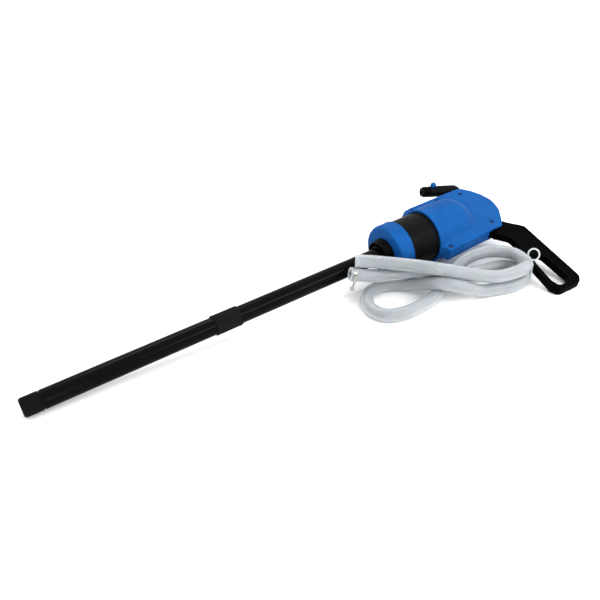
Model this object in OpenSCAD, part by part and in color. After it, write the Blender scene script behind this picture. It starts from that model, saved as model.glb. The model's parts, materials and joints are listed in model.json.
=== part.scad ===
// Lever drum pump lying at rest, with its loose discharge hose beside it.
// Each piece is drawn about the pump's axis: +X runs from the foot valve to the head,
// -Y points to the lever and +Z is square to the joint between the two housing shells.
// lay() then tips the pump onto the floor at z = 0, where it rests on the foot valve,
// the back edge of the union nut and the end of the lever's grip.

/* [Suction tube] */
// Outer radius of both suction tubes
tube_r = 16.5; // [15.5:0.5:17]
// Wall thickness of both suction tubes
tube_wall = 2.5; // [2:0.25:3]
// Distance from the housing's front ring to the inlet end of the foot valve
reach = 832; // [780:2:860]
// Distance from the housing's front ring to the middle of the tube coupling
coupling_at = 472; // [440:2:500]
// Length of the tube coupling
coupling_len = 50; // [40:2:60]
// Length of the foot valve below the lower tube
foot_len = 34; // [32:1:40]

/* [Bung fitting] */
// Crest radius of the bung thread, nominal size 2 inch
bung_r = 29.8; // [29.8]
// Length of bung thread in front of the union nut
bung_len = 18; // [14:1:22]
// Largest radius of the union nut
nut_r = 56.6; // [56:0.2:58]
// Length of the union nut
nut_len = 33; // [33:1:36]
// Number of grip flats round the union nut
nut_flats = 12; // [8:1:16]

/* [Barrel and piston] */
// Outer radius of the barrel
barrel_r = 53.5; // [53:0.5:54]
// Length of barrel seen between union nut and housing
barrel_seen = 70; // [66:1:74]
// Radius of the piston rod
rod_r = 5; // [4:0.5:6]
// Thickness of the piston
piston_len = 14; // [12:1:16]
// Radius of the crank that drives the piston rod
crank_r = 52; // [50:1:52]
// Swing of the lever from rest to fully raised, degrees
lever_swing = 55; // [40:1:55]

/* [Housing] */
// Half the width of the housing across its flanges
flange_w = 77; // [76:1:79]
// Half the thickness of the housing at its flat back
flat_h = 15; // [14.5:0.5:16]
// Wall thickness of the housing shells
shell_wall = 2.6; // [2.4:0.2:3]
// Outer radius of the housing's round collar
collar_r = 58.5; // [58:0.25:59]

/* [Lever] */
// Thickness of the lever outside the housing
lever_t = 16; // [14:0.5:17]

/* [Hose] */
// Outer radius of the corrugated hose
hose_r = 12.75; // [12.5:0.25:13]

/* [Hidden] */
$fn = 96;
eps = 0.1;
seam = 0.4;
running = 0.05;
tube_bore = tube_r - tube_wall;

black = [0.05, 0.05, 0.055];
blue = [0.05, 0.3, 0.75];
steel = [0.65, 0.66, 0.68];
clear_white = [0.85, 0.88, 0.9];
soft_black = [0.1, 0.1, 0.1];

// Foot valve stations along the axis
foot_x = -reach;
tube_x = foot_x + foot_len;
foot_r = tube_r + 0.1;
seat_x = foot_x + 10;
ball_r = 8;
seat_r = 7;
ball_x = seat_x + sqrt(ball_r * ball_r - seat_r * seat_r) + seam;
chamber_r = 11;
strainer_r = 13;
strainer_len = 3;
foot_chamfer = 3;
flute_count = 14;
flute_r = 2.4;
flute_axis_r = foot_r + 1;
groove_at = 4;
groove_w = 3;
groove_depth = 1.3;
plug_len = 12;
cage_at = 6;
cage_len = 3;
cage_hole_r = 3;
strainer_hole_r = 2.6;
strainer_pitch_r = 8.5;

// Tube and bung fitting stations
stop_x = -coupling_at;
stop_half = 1;
sleeve_wall = 2;
nut_back = -barrel_seen;
nut_front = nut_back - nut_len;
nut_chamfer = 8;
nut_front_r = nut_r - 3.9;
nut_rim = 5;
nut_draft = 0.3;
flat_depth = 1.4;
neck_r = barrel_r - 3.6;
flange_face = nut_front + 5;
flange_back = flange_face + 6;
tube_seat = flange_back - 1;
gasket_back = flange_back + 3;
flange_r = neck_r - 0.5;
bung_x = nut_front - bung_len;

// Barrel and piston stations, with the lever at rest
bore_r = barrel_r - 3;
bore_start = nut_back + 4;
neck_bore_r = neck_r - 3.4;
barrel_end = 66;
cap_x = barrel_end - 8;
gland_x = barrel_end + 10;
gland_r = 13;
bush_r = 8;
seal_len = 4;
piston_x = -10;
piston_top = piston_x + piston_len;
seal_at = piston_x + 4;
seal_w = 5;
seal_in_r = bore_r - 5;
port_at = 22;
port_r = 5;
flap_r = 30;
flap_t = 2;
stop_at = piston_top + 7;
rod_nut_len = 6;
duct_y = 38;
duct_r = 9;
duct_bore = 7;

// Lever linkage: the pivot, and the crank pin at rest
pivot = [155, -49];
crank_start = 90 - lever_swing / 2;
crank_at = pivot + crank_r * [cos(crank_start), sin(crank_start)];
crank_pin_r = 4;
pin_play = 0.75;
crank_rise = crank_r * (1 - sin(crank_start));
pivot_r = 5;
arm_half = 6.8;
yoke_in = 7.2;
yoke_out = 11.6;
yoke_back = 19;
yoke_x = crank_at.x - yoke_back;
yoke_half = 12;
cheek_len = yoke_back + 10;
socket_len = 10;
socket_half = 9;

// Housing
flat_in = flat_h - shell_wall;
lip_r = collar_r + 1.3;
lip_front = -2;
lip_back = 5;
dome_x = 70;
dome_in_r = collar_r - 3.5;
screw_r = 2;
screw_head_r = 4.2;
screw_hole_r = 4.6;
screw_head_h = 2.5;
cross_len = 4.4;
cross_w = 1;
screw_head_z = flat_h - 6.5;
post_r = 5.5;
post_spots = [[30, 69.5], [105, 67.5], [168, 60], [18, -65]];
screw_spots = concat(post_spots, [pivot]);
boss_r = 7;
boss_z = lever_t / 2 + 0.8;
lever_room = lever_t / 2 + 1;
outlet_x = 182;
outlet_y = 80.5;
socket_depth = 10;
oring_y = outlet_y + 4;
oring_w = 2.5;

// Spout
spout_r = 12.5;
spout_turn_y = 91.5;
spout_dir = 156;
spout_len = 58;
tail_len = 20;
tail_insert = 3;
tail_r = 10;
rib_r = 12.2;
knob_at = 52;
knob_r = 6.5;
knob_z = spout_r + 5;
knob_boss_r = 5;
stem_r = 2.5;
stem_len = 6;
rib_pitch = 3.8;
rib_w = 2;
elbow_swell = 0.4;

// Closed outlines are lists of [x, y, corner radius]
function unit(v) = v / norm(v);
function flat2(p) = [p.x, p.y];
function before(pts, i) = pts[(i + len(pts) - 1) % len(pts)];
function after(pts, i) = pts[(i + 1) % len(pts)];
function half_angle(a, b) = acos(a * b) / 2;
function corner(p, q, s, steps) =
    let (a = unit(flat2(p - q)), b = unit(flat2(s - q)), half = half_angle(a, b))
    let (middle = flat2(q) + unit(a + b) * q.z / sin(half))
    let (first = flat2(q) + a * q.z / tan(half) - middle)
    let (last = flat2(q) + b * q.z / tan(half) - middle)
    let (start = atan2(first.y, first.x), stop = atan2(last.y, last.x))
    let (turn = (stop - start + 540) % 360 - 180)
    [for (k = [0:steps]) middle + q.z * [cos(start + turn * k / steps), sin(start + turn * k / steps)]];
function rounded(pts, steps = 6) =
    [for (i = [0:len(pts) - 1]) each corner(before(pts, i), pts[i], after(pts, i), steps)];
function inset_corner(p, q, s, d) =
    let (a = unit(flat2(q - p)), b = unit(flat2(s - q)))
    let (moved = flat2(q) + [-a.y - b.y, a.x + b.x] * d / (1 + a * b))
    [moved.x, moved.y, max(q.z - d * sign(cross(a, b)), 1)];
function inset(pts, d) =
    [for (i = [0:len(pts) - 1]) inset_corner(before(pts, i), pts[i], after(pts, i), d)];

housing_outline = [
    [3, -62, 4], [9, 1.5 - flange_w, 6], [115, 6.5 - flange_w, 60],
    [168, 6.5 - flange_w, 8], [186, -50, 30], [205, -26, 40], [216, 6, 40], [211, 34, 40],
    [200, 57, 30], [183, flange_w, 12], [150, flange_w + 1, 60], [36, flange_w + 0.5, 20],
    [14, flange_w - 2, 12], [-3, 63, 5]];

lever_outline = [
    [178, -40, 14], [190, -62, 30], [216, -92, 14], [203, -170, 40], [188, -261, 16],
    [174, -273, 12], [118, -270, 12], [111, -252, 10], [124, -203, 30], [154, -122, 10],
    [156, -104, 10], [137, -80, 10], [134, -52, 10]];
slot_outline = [
    [172, -176, 8], [163, -250, 8], [150, -260, 8], [128, -259, 7], [126, -240, 10],
    [140, -190, 12], [152, -170, 8]];
arm_outline = [
    [pivot.x - 14, pivot.y + 2, 8], [crank_at.x - 9, crank_at.y + 2, 6],
    [crank_at.x - 4, crank_at.y + 11, 6], [crank_at.x + 8, crank_at.y + 8, 6],
    [crank_at.x + 11, crank_at.y - 4, 6], [pivot.x + 27, pivot.y + 6, 8],
    [pivot.x + 16, pivot.y - 22, 10], [pivot.x - 16, pivot.y - 22, 10]];
lever_slot_zone = [
    [131, -100], [270, -100], [270, -10], [176, -10], [160, -54], [152, -66], [131, -66]];

// Rest attitude: the tilt that lays foot valve and nut on the floor, and the roll about
// the pump's axis that lays the grip's lower corner on it
pitch = asin((nut_r - foot_r) / (reach - barrel_seen));
axis_h = (nut_r + barrel_seen * tan(pitch)) * cos(pitch);
grip_low = [116, -268];
grip_h = axis_h / cos(pitch) + grip_low.x * tan(pitch);
grip_far = norm([grip_low.y, lever_t / 2]);
roll = asin(grip_h / grip_far) - atan2(lever_t / 2, -grip_low.y);
middle_x = 308;
middle_y = 68;

module lay()
    translate([middle_x, middle_y, axis_h])
    rotate([0, -pitch, 0])
    rotate([roll, 0, 0])
    children();

module on_axis(x)
    translate([x, 0, 0])
    rotate([0, 90, 0])
    children();

module rod_x(x0, x1, r)
    on_axis(x0)
    cylinder(h = x1 - x0, r = r);

module ring_x(x0, x1, r_out, r_in)
    difference() {
        rod_x(x0, x1, r_out);
        rod_x(x0 - eps, x1 + eps, r_in);
    }

module rod_y(x, y0, y1, r)
    translate([x, y0, 0])
    rotate([-90, 0, 0])
    cylinder(h = y1 - y0, r = r);

module ring_y(y0, y1, r_out, r_in)
    difference() {
        rod_y(outlet_x, y0, y1, r_out);
        rod_y(outlet_x, y0 - eps, y1 + eps, r_in);
    }

module slab(outline, z0, z1)
    translate([0, 0, z0])
    linear_extrude(z1 - z0)
    polygon(rounded(outline));

module around_x(count, first = 0)
    for (i = [0:count - 1])
        rotate([first + i * 360 / count, 0, 0])
            children();

module foot_valve_body()
    color(black) lay() difference() {
        union() {
            on_axis(foot_x)
                cylinder(h = foot_chamfer, r1 = foot_r - foot_chamfer * 0.7, r2 = foot_r);
            rod_x(foot_x + foot_chamfer - eps, tube_x, foot_r);
            rod_x(tube_x - eps, tube_x + plug_len, tube_bore);
        }
        rod_x(seat_x, tube_x + plug_len + eps, chamber_r);
        rod_x(foot_x + eps, seat_x + eps, seat_r);
        rod_x(foot_x - eps, foot_x + strainer_len, strainer_r);
        around_x(flute_count)
            translate([0, 0, flute_axis_r])
            rod_x(foot_x + foot_chamfer, tube_x - groove_at - 2, flute_r);
        ring_x(tube_x - groove_at, tube_x - groove_at + groove_w, foot_r + 1, foot_r - groove_depth);
    }

module inlet_strainer()
    color(black) lay() difference() {
        rod_x(foot_x, foot_x + strainer_len, strainer_r);
        around_x(6)
            translate([0, 0, strainer_pitch_r])
            rod_x(foot_x - eps, foot_x + strainer_len + eps, strainer_hole_r);
        rod_x(foot_x - eps, foot_x + strainer_len + eps, strainer_hole_r);
    }

module foot_valve_ball()
    color(clear_white) lay()
        translate([ball_x, 0, 0])
        sphere(r = ball_r);

module foot_valve_cage()
    color(black) lay() difference() {
        rod_x(tube_x + cage_at, tube_x + cage_at + cage_len, chamber_r);
        around_x(4)
            translate([0, 0, 6])
            rod_x(tube_x + cage_at - eps, tube_x + cage_at + cage_len + eps, cage_hole_r);
    }

module lower_tube()
    color(black) lay() ring_x(tube_x, stop_x - stop_half, tube_r, tube_bore);

module tube_coupling()
    color(black) lay() {
        ring_x(stop_x - coupling_len / 2, stop_x + coupling_len / 2, tube_r + sleeve_wall, tube_r);
        ring_x(stop_x - stop_half, stop_x + stop_half, tube_r + 1, tube_bore);
    }

module upper_tube()
    color(black) lay() ring_x(stop_x + stop_half, tube_seat, tube_r, tube_bore);

module bung_adaptor()
    color(black) lay() difference() {
        union() {
            rod_x(bung_x, flange_face + eps, bung_r);
            rod_x(flange_face, flange_back, flange_r);
        }
        rod_x(bung_x - eps, tube_seat, tube_r);
        rod_x(tube_seat - eps, flange_back + eps, tube_bore);
        ring_x(bung_x - eps, bung_x + 10, bung_r - 3.6, tube_r + 3.8);
    }

module union_nut()
    color(blue) lay() difference() {
        on_axis(0) rotate_extrude()
            polygon([
                [bung_r + seam, nut_front], [nut_front_r, nut_front],
                [nut_r - nut_draft, nut_front + nut_chamfer],
                [nut_r - nut_draft, nut_back - nut_rim], [nut_r, nut_back],
                [neck_r + seam, nut_back], [neck_r + seam, flange_face - seam],
                [bung_r + seam, flange_face - seam]]);
        around_x(nut_flats, -roll)
            translate([nut_front - eps, -nut_r / 2, nut_r - flat_depth])
            cube([nut_len - nut_rim, nut_r, nut_r]);
    }

module adaptor_gasket()
    color(soft_black) lay() ring_x(flange_back, gasket_back, flange_r, flange_r - 7.5);

module barrel()
    color(black) lay() difference() {
        union() {
            rod_x(gasket_back, nut_back + eps, neck_r);
            rod_x(nut_back, barrel_end, barrel_r);
        }
        rod_x(gasket_back - eps, bore_start, neck_bore_r);
        rod_x(bore_start - eps, barrel_end + eps, bore_r);
    }

module barrel_cap()
    color(black) lay() difference() {
        union() {
            rod_x(cap_x, barrel_end, bore_r);
            rod_x(barrel_end - eps, gland_x, gland_r);
        }
        rod_x(cap_x - eps, gland_x + eps, bush_r);
        translate([0, duct_y, 0])
            rod_x(cap_x - eps, barrel_end + eps, duct_r);
    }

module rod_bush()
    color(clear_white) lay() ring_x(cap_x, gland_x - seal_len, bush_r, rod_r + running);

module rod_seal()
    color(soft_black) lay() ring_x(gland_x - seal_len, gland_x, bush_r, rod_r + running);

module piston()
    color(black) lay() difference() {
        rod_x(piston_x, piston_top, bore_r - seam);
        rod_x(piston_x - eps, piston_top + eps, rod_r);
        ring_x(seal_at, seal_at + seal_w, bore_r + 1, seal_in_r);
        around_x(6)
            translate([0, 0, port_at])
            rod_x(piston_x - eps, piston_top + eps, port_r);
    }

module piston_seal()
    color(soft_black) lay()
        ring_x(seal_at, seal_at + seal_w, bore_r - running, seal_in_r);

module piston_valve()
    color(soft_black) lay()
        ring_x(piston_top + running, piston_top + flap_t, flap_r, rod_r + seam);

module valve_stop()
    color(steel) lay() ring_x(stop_at, stop_at + 2, 14, rod_r);

module piston_nut()
    color(steel) lay() difference() {
        on_axis(piston_x - rod_nut_len)
            cylinder(h = rod_nut_len, r = 9, $fn = 6);
        rod_x(piston_x - rod_nut_len - eps, piston_x + eps, rod_r);
    }

module piston_rod()
    color(steel) lay() rod_x(piston_x - rod_nut_len - 2, yoke_x + eps, rod_r);

module rod_end()
    color(black) lay() difference() {
        union() {
            translate([yoke_x - socket_len, -socket_half, -yoke_out])
                cube([socket_len + eps, 2 * socket_half, 2 * yoke_out]);
            translate([yoke_x, -yoke_half, -yoke_out])
                cube([cheek_len, 2 * yoke_half, 2 * yoke_out]);
        }
        translate([yoke_x + eps, -yoke_half - eps, -yoke_in])
            cube([cheek_len, 2 * yoke_half + 2 * eps, 2 * yoke_in]);
        rod_x(yoke_x - socket_len - eps, yoke_x + 2 * eps, rod_r);
        for (y = [-1, 1])
            translate([crank_at.x, y * crank_rise / 2, -yoke_out - eps])
            cylinder(h = 2 * yoke_out + 2 * eps, r = crank_pin_r + pin_play);
        translate([crank_at.x - crank_pin_r - pin_play, -crank_rise / 2, -yoke_out - eps])
            cube([2 * crank_pin_r + 2 * pin_play, crank_rise, 2 * yoke_out + 2 * eps]);
    }

module crank_pin()
    color(steel) lay()
        translate([crank_at.x, crank_at.y, seam - yoke_out])
        cylinder(h = 2 * (yoke_out - seam), r = crank_pin_r);

module lever()
    color(black) lay() difference() {
        union() {
            slab(lever_outline, -lever_t / 2, lever_t / 2);
            slab(arm_outline, -arm_half, arm_half);
        }
        slab(slot_outline, -lever_t, lever_t);
        translate([pivot.x, pivot.y, -lever_t])
            cylinder(h = 2 * lever_t, r = pivot_r + running);
        translate([crank_at.x, crank_at.y, -lever_t])
            cylinder(h = 2 * lever_t, r = crank_pin_r);
    }

module pivot_sleeve()
    color(steel) lay()
        translate([pivot.x, pivot.y, -flat_in])
        difference() {
            cylinder(h = flat_in + screw_head_z, r = pivot_r);
            translate([0, 0, -eps])
                cylinder(h = 2 * flat_in, r = screw_r);
        }

// One half of the housing, with its inside towards z = 0
module half_shell()
    difference() {
        union() {
            slab(housing_outline, 0, flat_h);
            rod_x(0, dome_x, collar_r);
            rod_x(lip_front, lip_back, lip_r);
            translate([dome_x, 0, 0])
                sphere(r = collar_r);
        }
        difference() {
            union() {
                slab(inset(housing_outline, shell_wall), -eps, flat_in);
                rod_x(lip_back + 3, dome_x, dome_in_r);
                translate([dome_x, 0, 0])
                    sphere(r = dome_in_r);
            }
            for (spot = post_spots)
                translate([spot.x, spot.y, -eps])
                    cylinder(h = flat_h, r = post_r);
            translate([pivot.x, pivot.y, boss_z])
                cylinder(h = flat_h, r = boss_r);
        }
        rod_x(-10, barrel_end + 4, barrel_r);
        rod_y(outlet_x, 50, 100, duct_r);
        translate([0, 0, -eps])
            linear_extrude(lever_room + eps)
            polygon(lever_slot_zone);
        translate([-300, -300, -200])
            cube([700, 600, 200]);
    }

module upper_shell()
    color(blue) lay() difference() {
        half_shell();
        for (spot = screw_spots)
            translate([spot.x, spot.y, 0]) {
                translate([0, 0, -eps])
                    cylinder(h = flat_h, r = screw_r);
                translate([0, 0, screw_head_z])
                    cylinder(h = flat_h, r = screw_hole_r);
            }
    }

module lower_shell()
    color(blue) lay() difference() {
        mirror([0, 0, 1]) half_shell();
        for (spot = screw_spots)
            translate([spot.x, spot.y, -flat_in])
                cylinder(h = flat_in + eps, r = screw_r);
        translate([pivot.x, pivot.y, -flat_in])
            cylinder(h = flat_in + eps, r = pivot_r);
    }

module shell_screws()
    color(steel) lay()
    for (spot = screw_spots)
        translate([spot.x, spot.y, 0])
        difference() {
            union() {
                translate([0, 0, -flat_in])
                    cylinder(h = flat_in + screw_head_z + eps, r = screw_r);
                translate([0, 0, screw_head_z])
                    cylinder(h = screw_head_h, r = screw_head_r);
            }
            for (turn = [0, 90])
                rotate([0, 0, turn])
                    translate([-cross_len / 2, -cross_w / 2, screw_head_z + 1])
                    cube([cross_len, cross_w, screw_head_h]);
        }

module duct_run(r, x0, y1) {
    translate([0, duct_y, 0])
        rod_x(x0, outlet_x, r);
    translate([outlet_x, duct_y, 0])
        sphere(r = r + elbow_swell);
    rod_y(outlet_x, duct_y, y1, r);
}

module outlet_duct()
    color(black) lay() difference() {
        duct_run(duct_r, cap_x, outlet_y + socket_depth);
        duct_run(duct_bore, cap_x - eps, outlet_y + socket_depth + eps);
        ring_y(oring_y, oring_y + oring_w, duct_r + 1, duct_r - 1);
    }

module spout_oring()
    color(soft_black) lay() ring_y(oring_y, oring_y + oring_w, duct_r, duct_r - 1);

// Places children with their z along the spout, at a distance from its elbow
module along_spout(distance)
    translate([outlet_x, spout_turn_y, 0])
    rotate([0, 0, spout_dir])
    translate([distance, 0, 0])
    rotate([0, 90, 0])
    children();

module spout()
    color(black) lay() difference() {
        union() {
            rod_y(outlet_x, outlet_y, spout_turn_y, spout_r);
            translate([outlet_x, spout_turn_y, 0])
                sphere(r = spout_r + elbow_swell);
            along_spout(0)
                cylinder(h = spout_len, r = spout_r);
            along_spout(knob_at)
                rotate([0, -90, 0])
                cylinder(h = spout_r + 0.5, r = knob_boss_r);
        }
        rod_y(outlet_x, outlet_y - eps, outlet_y + socket_depth + 2 * eps, duct_r + running);
        rod_y(outlet_x, outlet_y, spout_turn_y, duct_bore);
        translate([outlet_x, spout_turn_y, 0])
            sphere(r = duct_bore + elbow_swell);
        along_spout(knob_at)
            rotate([0, -90, 0])
            translate([0, 0, knob_z])
            sphere(r = knob_r + seam);
        along_spout(0)
            cylinder(h = spout_len - tail_insert, r = duct_bore);
        along_spout(spout_len - tail_insert - eps)
            cylinder(h = tail_insert + 2 * eps, r = tail_r - 1);
        along_spout(knob_at)
            rotate([0, -90, 0])
            cylinder(h = spout_r + 3, r = stem_r + running);
    }

module hose_tail()
    color(black) lay() difference() {
        union() {
            along_spout(spout_len - tail_insert)
                cylinder(h = tail_insert + eps, r = tail_r - 1);
            along_spout(spout_len)
                cylinder(h = tail_len, r = tail_r);
            for (i = [0:3])
                along_spout(spout_len + 1.5 + i * rib_pitch)
                    cylinder(h = rib_w, r = rib_r);
        }
        along_spout(spout_len - tail_insert - eps)
            cylinder(h = tail_len + tail_insert + 2 * eps, r = duct_bore);
    }

module vent_knob()
    color(blue) lay()
        along_spout(knob_at)
        rotate([0, -90, 0]) {
            translate([0, 0, duct_bore + 1])
                cylinder(h = stem_len, r = stem_r);
            translate([0, 0, knob_z])
                sphere(r = knob_r);
        }

// Free hose: the route its centre line follows over the floor, in the frame of the floor
hose_route = [
    [112, 46, 76.5], [147, 19, 74], [181, -12, 71.5], [208, -37, 69], [236, -60, 64],
    [284, -92, 52], [332, -114, 40], [376, -126, 40], [407, -124, 41], [425, -104, 42],
    [431, -76, 42], [415, -50, 42], [386, -33, 41], [345, -24, 34], [303, -28, 19],
    [262, -46, 13.5], [217, -68, 13], [175, -76, 13], [133, -76, 13], [101, -62, 13],
    [91, -34, 13], [102, -4, 13], [128, 19, 13], [164, 22, 13.5], [196, 4, 14],
    [214, -30, 24.5], [230, -70, 39.5], [264, -96, 32], [302, -108, 16], [342, -120, 13.2],
    [380, -130, 13], [411, -124, 14], [427, -102, 15], [423, -74, 15], [398, -58, 14],
    [360, -52, 14.5], [318, -55, 23], [280, -54, 38], [248, -46, 46], [219, -22, 49],
    [186, -1, 45], [149, 14, 45.5], [113.6, 29, 52], [93, 39, 57.5]];

hose_sides = 10;
function blend(p, q, s, t, u) =
    0.5 * (2 * q + (s - p) * u + (2 * p - 5 * q + 4 * s - t) * u * u
        + (3 * q - p - 3 * s + t) * u * u * u);
function clamped(pts, i) = pts[max(0, min(len(pts) - 1, i))];
function smooth(pts, steps) = [
    for (i = [0:len(pts) - 2])
        for (k = [0:steps - 1])
            blend(clamped(pts, i - 1), pts[i], pts[i + 1], clamped(pts, i + 2), k / steps),
    pts[len(pts) - 1]];
function heading(line, i) = unit(clamped(line, i + 1) - clamped(line, i - 1));
function ring(line, i, r) =
    let (ahead = heading(line, i), side = unit(cross(ahead, [0, 0, 1])), over = cross(side, ahead))
    [for (k = [0:hose_sides - 1])
        line[i] + r * (cos(k * 360 / hose_sides) * side + sin(k * 360 / hose_sides) * over)];
function side_faces(rings) = [
    for (i = [0:rings - 2])
        for (k = [0:hose_sides - 1])
            let (a = i * hose_sides + k, b = i * hose_sides + (k + 1) % hose_sides)
            each [[a, b, b + hose_sides], [a, b + hose_sides, a + hose_sides]]];

module hose() {
    line = smooth(hose_route, 2);
    rings = len(line);
    last = (rings - 1) * hose_sides;
    color(clear_white)
        polyhedron(
            points = [for (i = [0:rings - 1]) each ring(line, i, hose_r)],
            faces = concat(
                side_faces(rings),
                [[for (k = [0:hose_sides - 1]) hose_sides - 1 - k]],
                [[for (k = [0:hose_sides - 1]) last + k]]));
}

// Worm clamp round the hose's free end, its thumb screw hanging beside it
clamp_at = [99.6, 35.8, 55.7];
clamp_tilt = 13;
clamp_yaw = -26;
band_w = 6;
band_t = 0.8;
band_in = hose_r + 0.2;
housing_half = 7;
worm_y = -band_in - band_t - 1.8;
worm_r = 2;
worm_top = 8;
eye_z = -24;
eye_r = 4.2;
eye_t = 2;
eye_hole_r = 1.8;

module at_clamp()
    translate(clamp_at)
    rotate([0, clamp_tilt, clamp_yaw])
    children();

module clamp_band()
    color(steel) at_clamp() difference() {
        union() {
            on_axis(-band_w / 2)
                cylinder(h = band_w, r = band_in + band_t);
            translate([-band_w / 2, worm_y - 3, -housing_half])
                cube([band_w, 6.4, 2 * housing_half]);
        }
        rod_x(-band_w, band_w, band_in);
        translate([0, worm_y, -housing_half - eps])
            cylinder(h = 2 * housing_half + 2 * eps, r = worm_r + running);
    }

module clamp_screw()
    color(steel) at_clamp() difference() {
        union() {
            translate([0, worm_y, eye_z + eye_r])
                cylinder(h = worm_top - eye_z - eye_r, r = worm_r);
            translate([0, worm_y + eye_t / 2, eye_z])
                rotate([90, 0, 0])
                cylinder(h = eye_t, r = eye_r);
            translate([-worm_r, worm_y - eye_t / 2, eye_z])
                cube([2 * worm_r, eye_t, eye_r + 2]);
        }
        translate([0, worm_y + eye_t, eye_z])
            rotate([90, 0, 0])
            cylinder(h = 2 * eye_t, r = eye_hole_r);
    }

// Flat tie round both stacked turns at the hose's far bend, with its free loop
tie_at = [418, -115, 28];
tie_yaw = -42;
tie_rise = 13.5;
tie_w = 16;
tie_t = 1.2;
tie_in = hose_r + 0.4;
tie_loop = [438, -117, 56];
tie_loop_turn = [0, 58, -124];
tie_loop_r = 9.6;
tie_cord_r = 1.7;

module tie_section(r)
    union() {
        for (side = [-1, 1])
            translate([0, side * tie_rise])
            circle(r = r);
        translate([-r, -tie_rise])
            square([2 * r, 2 * tie_rise]);
    }

module hose_tie()
    color(clear_white) {
        translate(tie_at)
            rotate([90, 0, tie_yaw])
            translate([0, 0, -tie_w / 2])
            linear_extrude(tie_w)
            difference() {
                tie_section(tie_in + tie_t);
                tie_section(tie_in);
            }
        translate(tie_loop)
            rotate(tie_loop_turn)
            rotate_extrude()
            translate([tie_loop_r + tie_cord_r, 0])
            circle(r = tie_cord_r, $fn = 24);
    }

foot_valve_body();
inlet_strainer();
foot_valve_ball();
foot_valve_cage();
lower_tube();
tube_coupling();
upper_tube();
bung_adaptor();
union_nut();
adaptor_gasket();
barrel();
barrel_cap();
rod_bush();
rod_seal();
piston();
piston_seal();
piston_valve();
valve_stop();
piston_nut();
piston_rod();
rod_end();
crank_pin();
lever();
pivot_sleeve();
upper_shell();
lower_shell();
shell_screws();
outlet_duct();
spout_oring();
spout();
hose_tail();
vent_knob();
hose();
clamp_band();
clamp_screw();
hose_tie();
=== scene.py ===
"""Lever drum pump lying on a pale floor, with its loose discharge hose beside it."""
import bpy
import json
import math
import numpy as np
from mathutils import Matrix, Vector
from mathutils.kdtree import KDTree


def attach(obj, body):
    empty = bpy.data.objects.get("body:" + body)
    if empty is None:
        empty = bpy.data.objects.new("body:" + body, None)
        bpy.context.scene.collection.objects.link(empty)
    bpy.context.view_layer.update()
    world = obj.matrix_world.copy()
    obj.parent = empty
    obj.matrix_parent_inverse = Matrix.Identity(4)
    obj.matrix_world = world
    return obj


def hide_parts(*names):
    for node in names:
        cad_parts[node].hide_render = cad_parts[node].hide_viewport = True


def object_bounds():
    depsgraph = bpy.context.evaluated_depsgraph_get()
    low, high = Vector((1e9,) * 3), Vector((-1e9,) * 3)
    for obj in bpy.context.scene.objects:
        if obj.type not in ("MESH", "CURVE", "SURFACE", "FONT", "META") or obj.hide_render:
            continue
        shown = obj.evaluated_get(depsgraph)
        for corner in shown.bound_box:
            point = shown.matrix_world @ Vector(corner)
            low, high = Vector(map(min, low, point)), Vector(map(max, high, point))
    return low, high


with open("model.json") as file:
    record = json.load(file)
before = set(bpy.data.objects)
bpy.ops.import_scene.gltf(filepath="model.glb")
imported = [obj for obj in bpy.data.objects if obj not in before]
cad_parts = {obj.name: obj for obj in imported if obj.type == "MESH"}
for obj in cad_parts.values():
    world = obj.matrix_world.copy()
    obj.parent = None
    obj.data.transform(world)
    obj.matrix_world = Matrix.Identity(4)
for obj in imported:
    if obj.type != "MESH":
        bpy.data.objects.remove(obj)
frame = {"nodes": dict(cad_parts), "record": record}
nodes = frame["nodes"]
cad_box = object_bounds()
MM = 0.001

# The pump's own frame: +X from foot valve to head, -Y to the lever, laid on the floor
PITCH, ROLL, AXIS_AT = 3.00904, 12.6237, Vector((308, 68, 60.1965)) * MM
LAY = (Matrix.Translation(AXIS_AT) @ Matrix.Rotation(-math.radians(PITCH), 4, "Y")
       @ Matrix.Rotation(math.radians(ROLL), 4, "X"))


# ---------------------------------------------------------------- camera
LENS, SENSOR = 38.43, 36
EYE_AT = Vector((-0.5799, -0.7927, 0.6720))
EYE_AHEAD, EYE_UP = Vector((0.4706, 0.7031, -0.5331)), Vector((0.3163, 0.4296, 0.8458))


def camera():
    """The camera that gives the photo's view of the pump."""
    data = bpy.data.cameras.new("camera")
    data.sensor_width = SENSOR
    data.lens = LENS
    data.clip_start = 0.01
    ahead = EYE_AHEAD.normalized()
    right = ahead.cross(EYE_UP).normalized()
    turn = Matrix((right, right.cross(ahead), -ahead)).transposed()
    eye = bpy.data.objects.new("camera", data)
    bpy.context.scene.collection.objects.link(eye)
    eye.matrix_world = Matrix.Translation(EYE_AT) @ turn.to_4x4()
    bpy.context.scene.camera = eye


camera()


# ---------------------------------------------------------------- mesh helpers
def piece(name, points, faces, material, body, smooth):
    """A mesh that rides a body, with edges sharper than smooth degrees left sharp."""
    mesh = bpy.data.meshes.new(name)
    mesh.from_pydata([tuple(p) for p in points], [], faces)
    mesh.validate()
    for face in mesh.polygons:
        face.use_smooth = True
    mesh.set_sharp_from_angle(angle=math.radians(smooth))
    made = bpy.data.objects.new(name, mesh)
    bpy.context.scene.collection.objects.link(made)
    made.data.materials.append(material)
    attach(made, body)
    return made


def loft(rings):
    """Points and faces of a closed skin through rings of equal size, the last joined to the first."""
    sides = len(rings[0])
    points = [p for ring in rings for p in ring]
    faces = []
    for i in range(len(rings)):
        a, b = i * sides, (i + 1) % len(rings) * sides
        faces += [(a + k, a + (k + 1) % sides, b + (k + 1) % sides, b + k)
                  for k in range(sides)]
    return points, faces


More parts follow.
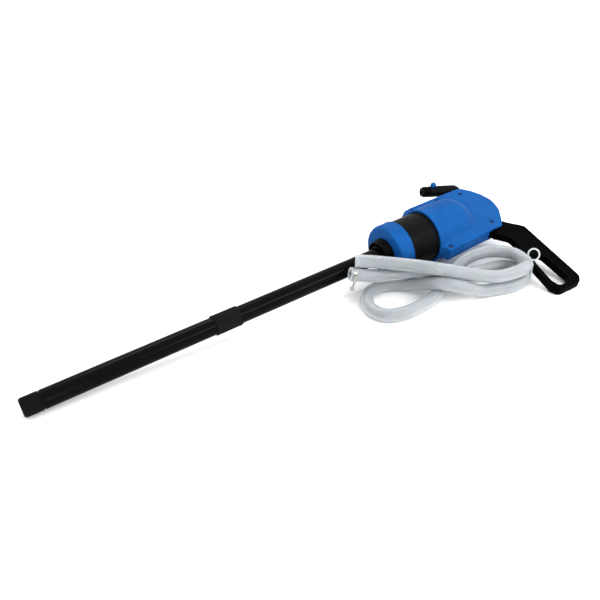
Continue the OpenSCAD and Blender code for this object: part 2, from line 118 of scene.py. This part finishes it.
def catmull(route, steps):
    """A smooth line through every point of a route, with so many steps between two."""
    line = []
    for i in range(len(route) - 1):
        p, q = route[max(i - 1, 0)], route[i]
        s, t = route[i + 1], route[min(i + 2, len(route) - 1)]
        for k in range(steps):
            u = k / steps
            line.append(0.5 * (2 * q + (s - p) * u + (2 * p - 5 * q + 4 * s - t) * u * u
                               + (3 * q - p - 3 * s + t) * u ** 3))
    return line + [route[-1].copy()]


def evenly(line, gap):
    """Points about gap apart along a line, with its length."""
    along = [0.0]
    for p, q in zip(line, line[1:]):
        along.append(along[-1] + (q - p).length)
    count = max(2, round(along[-1] / gap))
    out, at = [], 0
    for k in range(count + 1):
        s = along[-1] * k / count
        while at < len(line) - 2 and along[at + 1] < s:
            at += 1
        out.append(line[at].lerp(line[at + 1], (s - along[at]) / (along[at + 1] - along[at])))
    return out, along[-1]


def frames(line):
    """(point, side, over) along a line, without twist."""
    out = []
    ahead = (line[1] - line[0]).normalized()
    side = ahead.cross(Vector((0, 0, 1))).normalized()
    for i, p in enumerate(line):
        ahead = (line[min(i + 1, len(line) - 1)] - line[max(i - 1, 0)]).normalized()
        side = (side - ahead * side.dot(ahead)).normalized()
        out.append((p, side, side.cross(ahead)))
    return out


# ---------------------------------------------------------------- materials
class Look:
    """A node material under construction, in metres of object space."""

    def __init__(self, name, **sockets):
        self.mat = bpy.data.materials.new(name)
        self.mat.use_nodes = True
        self.tree = self.mat.node_tree
        self.bsdf = self.tree.nodes["Principled BSDF"]
        self.space = self.tree.nodes.new("ShaderNodeTexCoord").outputs["Object"]
        for key, value in sockets.items():
            self.bsdf.inputs[key.replace("_", " ")].default_value = value

    def node(self, kind, **settings):
        made = self.tree.nodes.new("ShaderNode" + kind)
        for key, value in settings.items():
            setattr(made, key, value)
        return made

    def link(self, out, into):
        self.tree.links.new(out, into)

    def noise(self, scale, detail=3, stretch=None):
        made = self.node("TexNoise")
        made.inputs["Scale"].default_value = scale
        made.inputs["Detail"].default_value = detail
        source = self.space
        if stretch:
            shift = self.node("Mapping")
            shift.inputs["Scale"].default_value = stretch
            self.link(self.space, shift.inputs["Vector"])
            source = shift.outputs["Vector"]
        self.link(source, made.inputs["Vector"])
        return made.outputs["Fac"]

    def ramp(self, source, low, high, start=0.35, stop=0.65):
        """Colour from low to high as the source goes from start to stop."""
        made = self.node("ValToRGB")
        for mark, place, value in zip(made.color_ramp.elements, (start, stop), (low, high)):
            mark.position = place
            mark.color = (*value, 1)
        self.link(source, made.inputs["Fac"])
        return made.outputs["Color"]

    def colour(self, source, low, high):
        self.link(self.ramp(source, low, high), self.bsdf.inputs["Base Color"])

    def rough(self, source, low, high):
        """Roughness from low to high over the range that a noise mostly keeps to."""
        made = self.node("MapRange")
        for side, value in (("From Min", 0.3), ("From Max", 0.7), ("To Min", low), ("To Max", high)):
            made.inputs[side].default_value = value
        self.link(source, made.inputs["Value"])
        self.link(made.outputs["Result"], self.bsdf.inputs["Roughness"])

    def bump(self, *layers):
        """Each layer is (source, strength, depth in metres)."""
        last = None
        for source, strength, depth in layers:
            made = self.node("Bump")
            made.inputs["Strength"].default_value = strength
            made.inputs["Distance"].default_value = depth
            self.link(source, made.inputs["Height"])
            if last:
                self.link(last, made.inputs["Normal"])
            last = made.outputs["Normal"]
        self.link(last, self.bsdf.inputs["Normal"])
        return self.mat


def moulded(name, low, high, rough, grain=1400, strength=0.12, **sockets):
    """Moulded plastic or rubber: an even colour over a fine grain and a slight unevenness."""
    look = Look(name, **sockets)
    look.colour(look.noise(22, 4), low, high)
    look.rough(look.noise(70), *rough)
    return look.bump((look.noise(grain, 2), strength, 0.0002),
                     (look.noise(160, 2), 0.05, 0.0006))


BLUE = moulded("blue_moulding", (0.0031, 0.060, 0.222), (0.0045, 0.069, 0.249), (0.46, 0.56),
               grain=1100, strength=0.10, Specular_IOR_Level=0.045)
BLACK = moulded("black_moulding", (0.001, 0.001, 0.0011), (0.0022, 0.0022, 0.0025),
                (0.42, 0.56), strength=0.2, Specular_IOR_Level=0.05)
LEVER = moulded("lever_black", (0.0005, 0.0005, 0.0006), (0.0011, 0.0011, 0.0012),
                (0.48, 0.62), grain=700, strength=0.5, Specular_IOR_Level=0.01)
SLEEVE = moulded("matte_sleeve", (0.003, 0.003, 0.0032), (0.005, 0.005, 0.0053),
                 (0.60, 0.72), grain=900, strength=0.35, Specular_IOR_Level=0.05)
RUBBER = moulded("seal_rubber", (0.012, 0.012, 0.012), (0.022, 0.022, 0.022), (0.6, 0.75))
NYLON = moulded("white_nylon", (0.70, 0.71, 0.70), (0.80, 0.81, 0.80), (0.30, 0.42))


def tube_skin():
    """Extruded tube: satin, with faint drawing lines along its length."""
    look = Look("black_tube", Specular_IOR_Level=0.04)
    look.colour(look.noise(14), (0.0007, 0.0008, 0.001), (0.0016, 0.0018, 0.0022))
    look.rough(look.noise(40, 3, (1, 9, 9)), 0.15, 0.21)
    return look.bump((look.noise(90, 3, (0.4, 14, 14)), 0.10, 0.0002),
                     (look.noise(1500, 2), 0.06, 0.0001))


def metal(name, tint, rough, stretch):
    """Brushed metal, with patches a little duller than its tint."""
    look = Look(name, Metallic=1.0)
    look.colour(look.noise(60, 4), [DULL * c for c in tint], tint)
    look.rough(look.noise(120, 3, stretch), *rough)
    return look.bump((look.noise(300, 3, stretch), 0.12, 0.0001))


def milky(name, low, high, rough, through, rib=None):
    """Cloudy clear plastic, with painted shade that darkens the grooves of a ribbed piece."""
    look = Look(name, IOR=1.4, Transmission_Weight=through, Subsurface_Weight=0.9,
                Subsurface_Scale=0.02, Specular_IOR_Level=0.3, Coat_Weight=0.2,
                Coat_Roughness=0.10)
    look.bsdf.inputs["Subsurface Radius"].default_value = (1.0, 1.0, 1.0)
    tint = look.ramp(look.noise(18), low, high)
    if rib:
        # Painted shade: the colour is multiplied darker towards the grooves between the ribs
        crest = look.node("Attribute", attribute_name=rib)
        painted_groove_shade = look.ramp(crest.outputs["Fac"], (0.88, 0.88, 0.89), (1, 1, 1), 0.1, 0.7)
        both = look.node("Mix", data_type="RGBA", blend_type="MULTIPLY")
        both.inputs["Factor"].default_value = 1
        look.link(tint, both.inputs["A"])
        look.link(painted_groove_shade, both.inputs["B"])
        tint = both.outputs["Result"]
    look.link(tint, look.bsdf.inputs["Base Color"])
    look.rough(look.noise(55), *rough)
    return look.bump((look.noise(320, 2), 0.05, 0.0003))


DULL = 0.82
TUBE = tube_skin()
STEEL = metal("steel", (0.10, 0.11, 0.13), (0.40, 0.52), (1, 1, 12))
ZINC = metal("zinc_clamp", (0.40, 0.39, 0.37), (0.24, 0.36), (1, 12, 1))
# The hose's grooves get painted shade from its rib attribute
HOSE = milky("clear_hose", (0.305, 0.34, 0.365), (0.345, 0.38, 0.41), (0.28, 0.38), 0.12, "rib")
TIE = milky("clear_tie", (0.33, 0.36, 0.37), (0.37, 0.40, 0.41), (0.26, 0.36), 0.1)
LOOKS = {"blue_moulding": BLUE, "black_moulding": BLACK, "lever_black": LEVER,
         "matte_sleeve": SLEEVE, "seal_rubber": RUBBER, "white_nylon": NYLON,
         "black_tube": TUBE, "steel": STEEL, "zinc_clamp": ZINC, "clear_hose": HOSE,
         "clear_tie": TIE}


# ---------------------------------------------------------------- moulded edges
WELD_GAP = 0.01 * MM


def remeshed(node, voxel):
    """Points (N, 3), edges and faces of a CAD node cut into even small faces."""
    source = nodes[node]
    copy = bpy.data.objects.new(node + "_even", source.data.copy())
    copy.matrix_world = source.matrix_world
    bpy.context.scene.collection.objects.link(copy)
    copy.modifiers.new("weld", "WELD").merge_threshold = WELD_GAP
    cut = copy.modifiers.new("cut", "REMESH")
    cut.mode = "VOXEL"
    cut.voxel_size = voxel
    even = bpy.data.meshes.new_from_object(
        copy.evaluated_get(bpy.context.evaluated_depsgraph_get()))
    even.transform(source.matrix_world)
    points = np.array([v.co[:] for v in even.vertices])
    edges = np.array([e.vertices[:] for e in even.edges])
    faces = [tuple(f.vertices) for f in even.polygons]
    bpy.data.objects.remove(copy)
    return points, edges, faces


def eased(points, edges, passes):
    """Points after smoothing, where passes gives how often each one is moved."""
    count = len(points)
    a, b = np.concatenate([edges, edges[:, ::-1]]).T
    near = np.maximum(np.bincount(a, minlength=count), 1)[:, None]
    for k in range(int(np.ceil(passes.max()))):
        mean = np.stack([np.bincount(a, points[b, i], count) for i in range(3)], 1) / near
        points = points + (mean - points) * 0.5 * np.clip(passes - k, 0, 1)[:, None]
    return points


def in_pump(points):
    """The points in the pump's own frame, in mm."""
    back = np.array(LAY.inverted())
    return (points @ back[:3, :3].T + back[:3, 3]) / MM


def softened(node, body, voxel, passes, carve=lambda points: points):
    """A piece that stands for a CAD node, with the small radii of a moulding."""
    points, edges, faces = remeshed(node, voxel)
    points = carve(points)
    points = eased(points, edges, passes(in_pump(points)))
    part = next(p for p in frame["record"]["subparts"] if p["node"] == node)
    look = part["material_slot"]
    made = piece(node + "_moulded", points, faces, LOOKS[look], body, 180)
    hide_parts(node)


# Places on the pump, in mm of its own frame
COLLAR_R = 58.5
DOME_X = 70
FLAT_H = 15
ELBOW_X, ELBOW_Y = 190, 100
SPREAD = 13


def near_to(away):
    """1 at a place, falling to almost nothing two spreads away from it."""
    return np.exp(-(away / SPREAD) ** 2)


def rising(value, start, over):
    """0 up to start, then rising evenly to 1 over the given distance."""
    return np.clip((value - start) / over, 0, 1)


def shell_passes(p):
    """Most where the round collar runs out into the flat back, least at the split line."""
    at_split, more_above, more_at_run_out = 1, 11, 420
    from_split, from_front, below_flat = 2, 8, 1.5
    out = np.hypot(np.maximum(p[:, 0] - DOME_X, 0), p[:, 1])
    foot = math.sqrt(COLLAR_R ** 2 - FLAT_H ** 2)
    height = np.abs(p[:, 2])
    run_out = near_to(np.hypot(out - foot, height - FLAT_H)) * (height > FLAT_H - below_flat)
    run_out *= rising(p[:, 0], from_front, 10)
    return at_split + more_above * rising(height, from_split, 5) + more_at_run_out * run_out


def elbow_passes(p):
    """Most on the outer corner of the spout's elbow."""
    everywhere, more_at_corner = 6, 110
    corner = near_to(np.hypot(p[:, 0] - ELBOW_X, p[:, 1] - ELBOW_Y))
    return everywhere + more_at_corner * corner


def few(count):
    """The same number of passes all over."""
    return lambda p: np.full(len(p), float(count))


def dished(points):
    """The lever's points with both faces sunk a little inside a raised rim."""
    rim, slope, depth, face = 5.0, 1.5, 1.3, 7.6
    wall_from, sunk_from = -76, -84
    p = in_pump(points)
    wall = np.flatnonzero((np.abs(p[:, 2]) < face - 1) & (p[:, 1] < wall_from))
    tree = KDTree(len(wall))
    for k, i in enumerate(wall):
        tree.insert((p[i, 0], p[i, 1], 0), k)
    tree.balance()
    for i in np.flatnonzero((np.abs(p[:, 2]) > face) & (p[:, 1] < sunk_from)):
        gap = tree.find((p[i, 0], p[i, 1], 0))[2]
        p[i, 2] -= math.copysign(depth * rising(gap, rim, slope), p[i, 2])
    lay = np.array(LAY)
    return (p * MM) @ lay[:3, :3].T + lay[:3, 3]


softened("upper_shell", "pump_body", 1.3 * MM, shell_passes)
softened("lower_shell", "pump_body", 1.3 * MM, shell_passes)
softened("union_nut", "bung_nut", 1.0 * MM, few(5))
softened("lever", "hand_lever", 1.2 * MM, few(5), dished)
softened("foot_valve_body", "pump_body", 0.6 * MM, few(3))
softened("spout", "spout_arm", 0.8 * MM, elbow_passes)


# ---------------------------------------------------------------- bung thread
def bung_thread():
    """The 2 inch pipe thread, turned as one closed skin round the pump's axis."""
    crest, root, pitch, run_in = 29.8, 28.3, 2.309, 3
    tube, flange, inner_wall, outer_wall = 16.5, 49.4, 20.3, 26.2
    front, face, back, groove = -121, -98, -92, -111
    steps_per_turn, sides = 6, 96
    count = round((face - front) / pitch * steps_per_turn)
    rings = []
    for k in range(sides):
        turn = 2 * math.pi * k / sides
        profile = []
        for i in range(count + 1):
            x = front + (face - front) * i / count
            tooth = abs(((x / pitch - k / sides) % 1) * 2 - 1)
            lead = min(1, (x - front) / run_in)
            profile.append((x, root + (crest - root) * tooth * lead))
        profile += [(face, flange), (back, flange), (back, tube), (front, tube), (front, inner_wall),
                    (groove, inner_wall), (groove, outer_wall), (front, outer_wall)]
        rings.append([LAY @ (Vector((x, r * math.cos(turn), r * math.sin(turn))) * MM)
                      for x, r in profile])
    points, faces = loft(rings)
    made = piece("bung_thread", points, faces, BLACK, "pump_body", 50)
    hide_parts("bung_adaptor")


bung_thread()


# ---------------------------------------------------------------- hose
HOSE_R, HOSE_BORE_R = 12.75 * MM, 11.1 * MM
RIB_PITCH, RIB_DEPTH = 4.0 * MM, 0.45 * MM
RINGS_PER_RIB = 5
PATH_GAP = 8 * MM
HOSE_SIDES = 24
# The middle of the hose, laid much as in the photo, from its plain end to the end in the clamp
HOSE_ROUTE = [Vector(p) * MM for p in (
    (112, 46, 76.5), (147, 19, 74), (181, -12, 71.5), (208, -37, 69), (236, -60, 64),
    (284, -92, 52), (332, -114, 40), (376, -126, 40), (407, -124, 41), (425, -104, 42),
    (431, -76, 42), (415, -50, 42), (386, -33, 41), (345, -24, 34), (303, -28, 19),
    (262, -46, 13.5), (217, -68, 13), (175, -76, 13), (133, -76, 13), (101, -62, 13),
    (91, -34, 13), (102, -4, 13), (128, 19, 13), (164, 22, 13.5), (196, 4, 14),
    (214, -30, 24.5), (230, -70, 39.5), (264, -96, 32), (302, -108, 16), (342, -120, 13.2),
    (380, -130, 13), (411, -124, 14), (427, -102, 15), (423, -74, 15), (398, -58, 14),
    (360, -52, 14.5), (318, -55, 23), (280, -54, 38), (248, -46, 46), (219, -22, 49),
    (186, -1, 45), (149, 14, 45.5), (113.6, 29, 52), (93, 39, 57.5))]


def hose():
    """The corrugated hose, with how near each point is to the crest of a rib, which the hose material
    uses to paint shade into the grooves.
    """
    smooth_route = catmull(HOSE_ROUTE, 12)
    line, length = evenly(smooth_route, RIB_PITCH / RINGS_PER_RIB)
    gap = length / (len(line) - 1)
    outer, inner, waves = [], [], []
    for i, (p, side, over) in enumerate(frames(line)):
        wave = 0.5 - 0.5 * math.cos(2 * math.pi * i * gap / RIB_PITCH)
        crest = wave ** 0.5
        waves += [crest] * HOSE_SIDES
        r = HOSE_R - RIB_DEPTH * (1 - crest)
        for ring, radius in ((outer, r), (inner, HOSE_BORE_R)):
            ring.append([p + (side * math.cos(t) + over * math.sin(t)) * radius
                         for t in (2 * math.pi * k / HOSE_SIDES for k in range(HOSE_SIDES))])
    points, faces = loft(outer + inner[::-1])
    made = piece("discharge_hose", points, faces, HOSE, "pump_body", 180)
    # Nearness to a rib's crest, which the hose material reads to paint shade into the grooves
    rib = made.data.attributes.new("rib", "FLOAT", "POINT")
    rib.data.foreach_set("value", waves + [1.0] * len(waves))
    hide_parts("hose")
    path, _ = evenly(smooth_route, PATH_GAP)


hose()


# ---------------------------------------------------------------- floor and light
FLOOR_HALF, FLOOR_GAP = 6, 0.0004
SKY_FROM, SKY_TO = 0.3, 1.0
SKY_LOW, SKY_HIGH = 1.15, 1.75
# Name, place, what it points at, size in metres, watts
LAMPS = (("key", (0.15, 1.2, 1.9), (0.15, 0.0, 0.0), (0.9, 0.25), 11),
         ("fill", (-0.9, -1.8, 0.55), (0.35, -0.05, 0.05), (1.6, 0.9), 20),
         ("panel", (0.70, -1.19, 0.95), (-0.1, 0.05, 0.04), (1.4, 0.55), 15))


def floor():
    """A pale matte floor, just under the lowest point of the CAD model."""
    look = Look("floor")
    look.colour(look.noise(3, 2), (0.90, 0.90, 0.90), (0.93, 0.93, 0.93))
    look.rough(look.noise(9, 2), 0.85, 0.95)
    look.bump((look.noise(260, 2), 0.02, 0.0002))
    mesh = bpy.data.meshes.new("floor")
    mesh.from_pydata([(FLOOR_HALF * x, FLOOR_HALF * y, 0)
                      for x, y in ((-1, -1), (1, -1), (1, 1), (-1, 1))], [], [(0, 1, 2, 3)])
    made = bpy.data.objects.new("floor", mesh)
    made.location.z = cad_box[0][2] - FLOOR_GAP
    made.data.materials.append(look.mat)
    bpy.context.scene.collection.objects.link(made)


def lamp(name, at, towards, size, watts):
    data = bpy.data.lights.new(name, "AREA")
    data.shape = "RECTANGLE"
    data.size, data.size_y = size
    data.energy = watts
    made = bpy.data.objects.new(name, data)
    made.location = at
    made.rotation_euler = (Vector(towards) - Vector(at)).to_track_quat("-Z", "Y").to_euler()
    bpy.context.scene.collection.objects.link(made)


def studio():
    """A white room, brightest overhead, with soft lamps behind and in front."""
    world = bpy.data.worlds.new("studio")
    world.use_nodes = True
    tree = world.node_tree
    space = tree.nodes.new("ShaderNodeTexCoord").outputs["Generated"]
    split = tree.nodes.new("ShaderNodeSeparateXYZ")
    tree.links.new(space, split.inputs["Vector"])
    height = tree.nodes.new("ShaderNodeMapRange")
    height.interpolation_type = "SMOOTHERSTEP"
    for side, value in (("From Min", SKY_FROM), ("From Max", SKY_TO),
                        ("To Min", SKY_LOW), ("To Max", SKY_HIGH)):
        height.inputs[side].default_value = value
    tree.links.new(split.outputs["Z"], height.inputs["Value"])
    tree.nodes["Background"].inputs["Color"].default_value = (1, 1, 1, 1)
    tree.links.new(height.outputs["Result"], tree.nodes["Background"].inputs["Strength"])
    bpy.context.scene.world = world
    for name, at, towards, size, watts in LAMPS:
        lamp(name, at, towards, size, watts)
    bpy.context.scene.view_settings.view_transform = "Standard"


floor()
studio()


# ---------------------------------------------------------------- CAD nodes' materials
for part in frame["record"]["subparts"]:
    for spot in nodes[part["node"]].material_slots:
        spot.material = LOOKS[part["material_slot"]]
